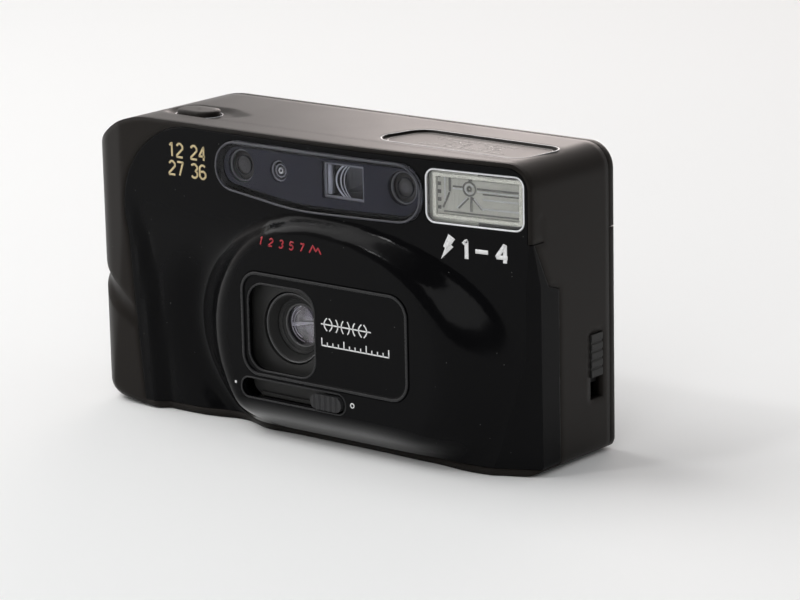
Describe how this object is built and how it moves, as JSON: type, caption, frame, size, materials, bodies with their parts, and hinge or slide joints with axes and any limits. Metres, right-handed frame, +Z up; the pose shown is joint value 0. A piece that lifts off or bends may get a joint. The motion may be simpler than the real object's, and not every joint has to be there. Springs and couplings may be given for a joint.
{
  "type": "compact_film_camera",
  "caption": "Black 35 mm compact film camera with sliding lens barrier, window strip, flash, hinged back, battery door, tripod socket",
  "frame": {"origin": "Origin on the base plane under the lens axis, at the middle of the depth: the plane and the axis that other items are set from.", "axes": "+X along the width to the viewer's right, -Y out of the lens towards the subject, +Z up"},
  "size_m": [0.1328, 0.0428, 0.0726],
  "materials": {
    "shell_black": "fine grained, semi-matt",
    "gloss_black": "polished mould, light wear",
    "dark_plastic": "matt, light-absorbing",
    "gear_white": "moulded acetal",
    "tinted": "smoked acrylic",
    "clear": "clear, coated",
    "steel": "rolled strip and drawn pin",
    "bright": "bright metal film",
    "brass": "turned",
    "board": "coated board",
    "sleeve": "shrunk sleeve"
  },
  "bodies": {
    "camera": {"main_casing": "shell_black", "rear_cover": "shell_black", "eyepiece_surround": "shell_black", "front_cover": "gloss_black", "lens_trim_plate": "gloss_black", "chassis": "dark_plastic", "viewfinder_body": "dark_plastic", "shutter_housing": "dark_plastic", "lens_ring": "dark_plastic", "barrier_guide": "dark_plastic", "window_mask": "dark_plastic", "strap_lug": "dark_plastic", "window_strip": "tinted", "af_units": "tinted", "ready_lamp": "tinted", "finder_front_lens": "clear", "eyepiece_lens": "clear", "flash_window": "clear", "flash_tube": "clear", "rear_element": "clear", "counter_window": "clear", "light_sensor": "clear", "frame_mirror": "clear", "hinge_pin": "steel", "battery_door_pin": "steel", "battery_contacts": "steel", "winding_motor": "steel", "flash_reflector": "bright", "tripod_socket": "brass", "main_board": "board", "flash_board": "board", "release_switch": "board", "flash_capacitor": "sleeve"},
    "back_door": {"back_door": "shell_black", "film_window": "clear", "pressure_plate": "dark_plastic", "pressure_spring": "steel"},
    "door_latch": {"door_latch": "dark_plastic"},
    "battery_door": {"battery_door": "shell_black", "bridge_contact": "steel"},
    "barrier": {"barrier_blade": "dark_plastic", "barrier_knob": "dark_plastic"},
    "shutter_button": {"shutter_button": "gloss_black", "button_spring": "steel"},
    "rewind_button": {"rewind_button": "dark_plastic"},
    "focus": {"focus_cell": "dark_plastic", "front_element": "clear", "middle_element": "clear"},
    "shutter_left": {"shutter_blade_left": "steel"},
    "shutter_right": {"shutter_blade_right": "steel"},
    "take_up": {"take_up_spool": "dark_plastic", "take_up_gear": "gear_white"},
    "idler_1": {"idler_gear_1": "gear_white"},
    "idler_2": {"idler_gear_2": "gear_white"},
    "idler_3": {"idler_gear_3": "gear_white"},
    "idler_4": {"idler_gear_4": "gear_white"},
    "idler_5": {"idler_gear_5": "gear_white"},
    "rewind_fork": {"rewind_fork": "gear_white"},
    "sprocket": {"sprocket": "dark_plastic"},
    "counter": {"counter_drum": "gear_white"}
  },
  "joints": [
    {"name": "back_door_hinge", "type": "hinge", "parent": "camera", "child": "back_door", "pos_m": [-0.0468, 0.0153, 0.027], "axis": [0, 0, 1], "range_deg": [0, 110]},
    {"name": "latch_slide", "type": "slide", "parent": "camera", "child": "door_latch", "axis": [0, 0, -1], "range_m": [0, 0.005], "stiffness_N_per_m": 200},
    {"name": "battery_door_hinge", "type": "hinge", "parent": "camera", "child": "battery_door", "pos_m": [-0.0451, 0, 0.0015], "axis": [0, -1, 0], "range_deg": [0, 95]},
    {"name": "barrier_slide", "type": "slide", "parent": "camera", "child": "barrier", "axis": [-1, 0, 0], "range_m": [0, 0.0208]},
    {"name": "button_press", "type": "slide", "parent": "camera", "child": "shutter_button", "axis": [0, 0, -1], "range_m": [0, 0.001], "stiffness_N_per_m": 900, "deforming": ["button_spring"]},
    {"name": "rewind_press", "type": "slide", "parent": "camera", "child": "rewind_button", "axis": [0, 0, 1], "range_m": [0, 0.0004], "stiffness_N_per_m": 900},
    {"name": "focus_slide", "type": "slide", "parent": "camera", "child": "focus", "axis": [0, -1, 0], "range_m": [0, 0.0008]},
    {"name": "shutter_left_pivot", "type": "hinge", "parent": "camera", "child": "shutter_left", "pos_m": [-0.0066, -0.0114, 0.0184], "axis": [0, -1, 0], "range_deg": [0, 39], "stiffness_Nm_per_rad": 0.0004},
    {"name": "shutter_right_pivot", "type": "hinge", "parent": "camera", "child": "shutter_right", "pos_m": [0.0066, -0.0108, 0.0184], "axis": [0, 1, 0], "range_deg": [0, 39]},
    {"name": "take_up_turn", "type": "hinge", "parent": "camera", "child": "take_up", "pos_m": [-0.0335, 0.0022, 0.025], "axis": [0, 0, 1], "continuous": true},
    {"name": "idler_1_turn", "type": "hinge", "parent": "camera", "child": "idler_1", "pos_m": [-0.01938, 0.00502, 0.003], "axis": [0, 0, 1], "continuous": true},
    {"name": "idler_2_turn", "type": "hinge", "parent": "camera", "child": "idler_2", "pos_m": [-0.00824, 0.00623, 0.003], "axis": [0, 0, 1], "continuous": true},
    {"name": "idler_3_turn", "type": "hinge", "parent": "camera", "child": "idler_3", "pos_m": [0.00295, 0.00657, 0.003], "axis": [0, 0, 1], "continuous": true},
    {"name": "idler_4_turn", "type": "hinge", "parent": "camera", "child": "idler_4", "pos_m": [0.01414, 0.00604, 0.003], "axis": [0, 0, 1], "continuous": true},
    {"name": "idler_5_turn", "type": "hinge", "parent": "camera", "child": "idler_5", "pos_m": [0.02525, 0.00464, 0.003], "axis": [0, 0, 1], "continuous": true},
    {"name": "fork_turn", "type": "hinge", "parent": "camera", "child": "rewind_fork", "pos_m": [0.037, 0.0022, 0.005], "axis": [0, 0, 1], "continuous": true},
    {"name": "sprocket_turn", "type": "hinge", "parent": "camera", "child": "sprocket", "pos_m": [-0.015, 0.007, 0.043], "axis": [0, 0, 1], "continuous": true},
    {"name": "counter_turn", "type": "hinge", "parent": "camera", "child": "counter", "pos_m": [-0.024, 0.008, 0.059], "axis": [0, 0, 1], "continuous": true}
  ],
  "couplings": [
    {"joint": "shutter_right_pivot", "follows": "shutter_left_pivot", "ratio": 1},
    {"joint": "idler_1_turn", "follows": "take_up_turn", "ratio": -1.5714},
    {"joint": "idler_2_turn", "follows": "take_up_turn", "ratio": 1.5714},
    {"joint": "idler_3_turn", "follows": "take_up_turn", "ratio": -1.5714},
    {"joint": "idler_4_turn", "follows": "take_up_turn", "ratio": 1.5714},
    {"joint": "idler_5_turn", "follows": "take_up_turn", "ratio": -1.5714},
    {"joint": "fork_turn", "follows": "take_up_turn", "ratio": 1.375},
    {"joint": "sprocket_turn", "follows": "take_up_turn", "ratio": 1.4},
    {"joint": "counter_turn", "follows": "take_up_turn", "ratio": 0.033333}
  ]
}
